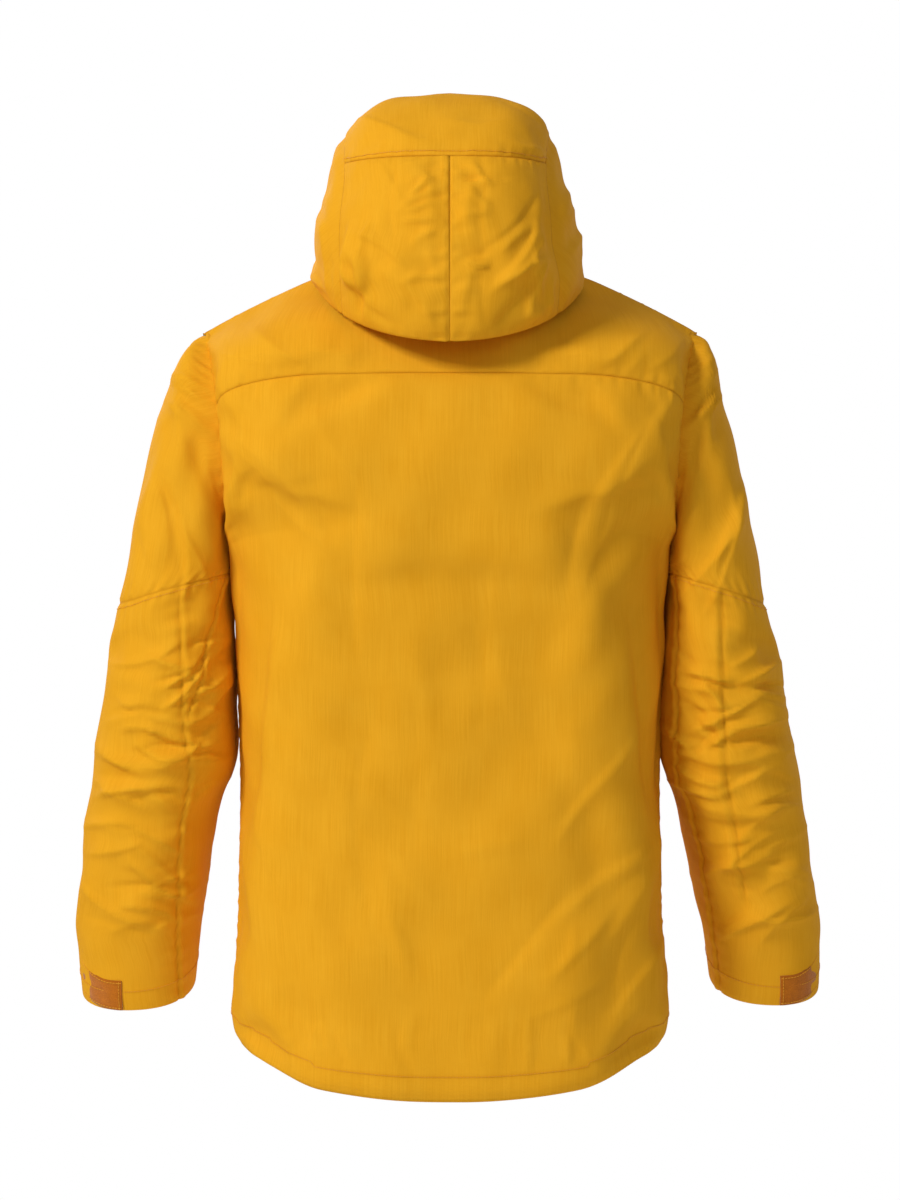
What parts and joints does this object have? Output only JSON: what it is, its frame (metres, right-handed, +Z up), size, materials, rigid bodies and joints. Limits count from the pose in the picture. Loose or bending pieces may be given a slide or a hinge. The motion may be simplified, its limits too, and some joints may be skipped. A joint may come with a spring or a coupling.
{
  "type": "ski jacket",
  "caption": "Hooded ski jacket shell with a yoked back, set-in sleeves with closable cuffs, zipped front and pockets, and a powder skirt inside.",
  "frame": {"origin": "underside of the hanger loop at the nape, where the jacket bears on a hook", "axes": "+Z up with the jacket hanging, front towards -Y, wearer's left towards +X"},
  "size_m": [0.7554, 0.3264, 0.9807],
  "materials": {
    "shell_fabric": "matte woven polyester face",
    "lining_fabric": "smooth taffeta",
    "zip_tape": "woven tape with a nylon coil",
    "slider_metal": "dark satin",
    "pull_rubber": "matte moulded",
    "loop_pile": "fuzzy loop pile",
    "tab_rubber": "matte moulded",
    "webbing": "woven ribbon",
    "skirt_fabric": "stretch woven",
    "eyelet_metal": "dark satin",
    "label_fabric": "blank woven label"
  },
  "bodies": {
    "torso": {"back_panel": "shell_fabric", "back_yoke": "shell_fabric", "front_left": "shell_fabric", "front_right": "shell_fabric", "collar": "shell_fabric", "hem_facing_back": "shell_fabric", "hem_facing_left": "shell_fabric", "hem_facing_right": "shell_fabric", "lining_back": "lining_fabric", "lining_left": "lining_fabric", "lining_right": "lining_fabric", "pocket_bag_left": "lining_fabric", "pocket_bag_right": "lining_fabric", "wind_flap": "lining_fabric", "powder_skirt": "skirt_fabric", "skirt_snap_left": "eyelet_metal", "skirt_snap_right": "eyelet_metal", "hem_eyelet_left": "eyelet_metal", "hem_eyelet_right": "eyelet_metal", "hanger_loop": "webbing", "neck_label": "label_fabric", "zip_tape_left": "zip_tape", "zip_tape_right": "zip_tape", "pocket_zip_left": "zip_tape", "pocket_zip_right": "zip_tape", "zip_stop": "slider_metal", "sleeve_left_head": "shell_fabric", "sleeve_right_head": "shell_fabric"},
    "main_slider": {"main_slider": "slider_metal"},
    "main_puller": {"main_puller": "pull_rubber"},
    "hood": {"hood_crown": "shell_fabric", "hood_back_left": "shell_fabric", "hood_back_right": "shell_fabric", "hood_side_left": "shell_fabric", "hood_side_right": "shell_fabric", "hood_nape_left": "shell_fabric", "hood_nape_right": "shell_fabric", "hood_neck_drape": "shell_fabric", "hood_eyelet_left": "eyelet_metal", "hood_eyelet_right": "eyelet_metal"},
    "sleeve_left": {"sleeve_left_cap": "shell_fabric", "sleeve_left_upper": "shell_fabric"},
    "forearm_left": {"sleeve_left_elbow": "shell_fabric", "sleeve_left_forearm": "shell_fabric", "cuff_facing_left": "lining_fabric", "cuff_loop_patch_left": "loop_pile"},
    "cuff_tab_left": {"cuff_tab_left": "tab_rubber"},
    "pocket_slider_left": {"pocket_slider_left": "slider_metal"},
    "sleeve_right": {"sleeve_right_cap": "shell_fabric", "sleeve_right_upper": "shell_fabric"},
    "forearm_right": {"sleeve_right_elbow": "shell_fabric", "sleeve_right_forearm": "shell_fabric", "cuff_facing_right": "lining_fabric", "cuff_loop_patch_right": "loop_pile"},
    "cuff_tab_right": {"cuff_tab_right": "tab_rubber"},
    "pocket_slider_right": {"pocket_slider_right": "slider_metal"}
  },
  "joints": [
    {"name": "hood_fold", "type": "hinge", "parent": "torso", "child": "hood", "pos_m": [0, -0.065, 0.03], "axis": [-1, 0, 0], "range_deg": [0, 30], "deforming": ["hood_back_left", "hood_back_right", "hood_nape_left", "hood_nape_right", "hood_neck_drape"]},
    {"name": "sleeve_left_lift", "type": "hinge", "parent": "torso", "child": "sleeve_left", "pos_m": [0.215, -0.045, -0.11], "axis": [0, -1, 0], "range_deg": [0, 40], "deforming": ["sleeve_left_cap"]},
    {"name": "elbow_left_bend", "type": "hinge", "parent": "sleeve_left", "child": "forearm_left", "pos_m": [0.285, -0.063, -0.468], "axis": [-1, 0, 0], "range_deg": [0, 60], "deforming": ["sleeve_left_elbow"]},
    {"name": "cuff_tab_left_peel", "type": "hinge", "parent": "forearm_left", "child": "cuff_tab_left", "pos_m": [0.2924, -0.1661, -0.64309], "axis": [0.0572, -0.1797, -0.9821], "range_deg": [0, 75]},
    {"name": "sleeve_right_lift", "type": "hinge", "parent": "torso", "child": "sleeve_right", "pos_m": [-0.215, -0.045, -0.11], "axis": [0, 1, 0], "range_deg": [0, 40], "deforming": ["sleeve_right_cap"]},
    {"name": "elbow_right_bend", "type": "hinge", "parent": "sleeve_right", "child": "forearm_right", "pos_m": [-0.285, -0.063, -0.468], "axis": [-1, 0, 0], "range_deg": [0, 60], "deforming": ["sleeve_right_elbow"]},
    {"name": "cuff_tab_right_peel", "type": "hinge", "parent": "forearm_right", "child": "cuff_tab_right", "pos_m": [-0.2924, -0.1661, -0.64309], "axis": [0.0572, 0.1797, 0.9821], "range_deg": [0, 75]},
    {"name": "main_zip_slide", "type": "slide", "parent": "torso", "child": "main_slider", "axis": [0, -0.0484, -0.9988], "range_m": [0, 0.775]},
    {"name": "main_puller_swing", "type": "hinge", "parent": "main_slider", "child": "main_puller", "pos_m": [0, -0.15687, 0.05301], "axis": [-1, 0, 0], "range_deg": [0, 150]},
    {"name": "pocket_left_slide", "type": "slide", "parent": "torso", "child": "pocket_slider_left", "axis": [0.1466, 0.0664, -0.987], "range_m": [0, 0.115]},
    {"name": "pocket_right_slide", "type": "slide", "parent": "torso", "child": "pocket_slider_right", "axis": [-0.1466, 0.0664, -0.987], "range_m": [0, 0.115]}
  ]
}
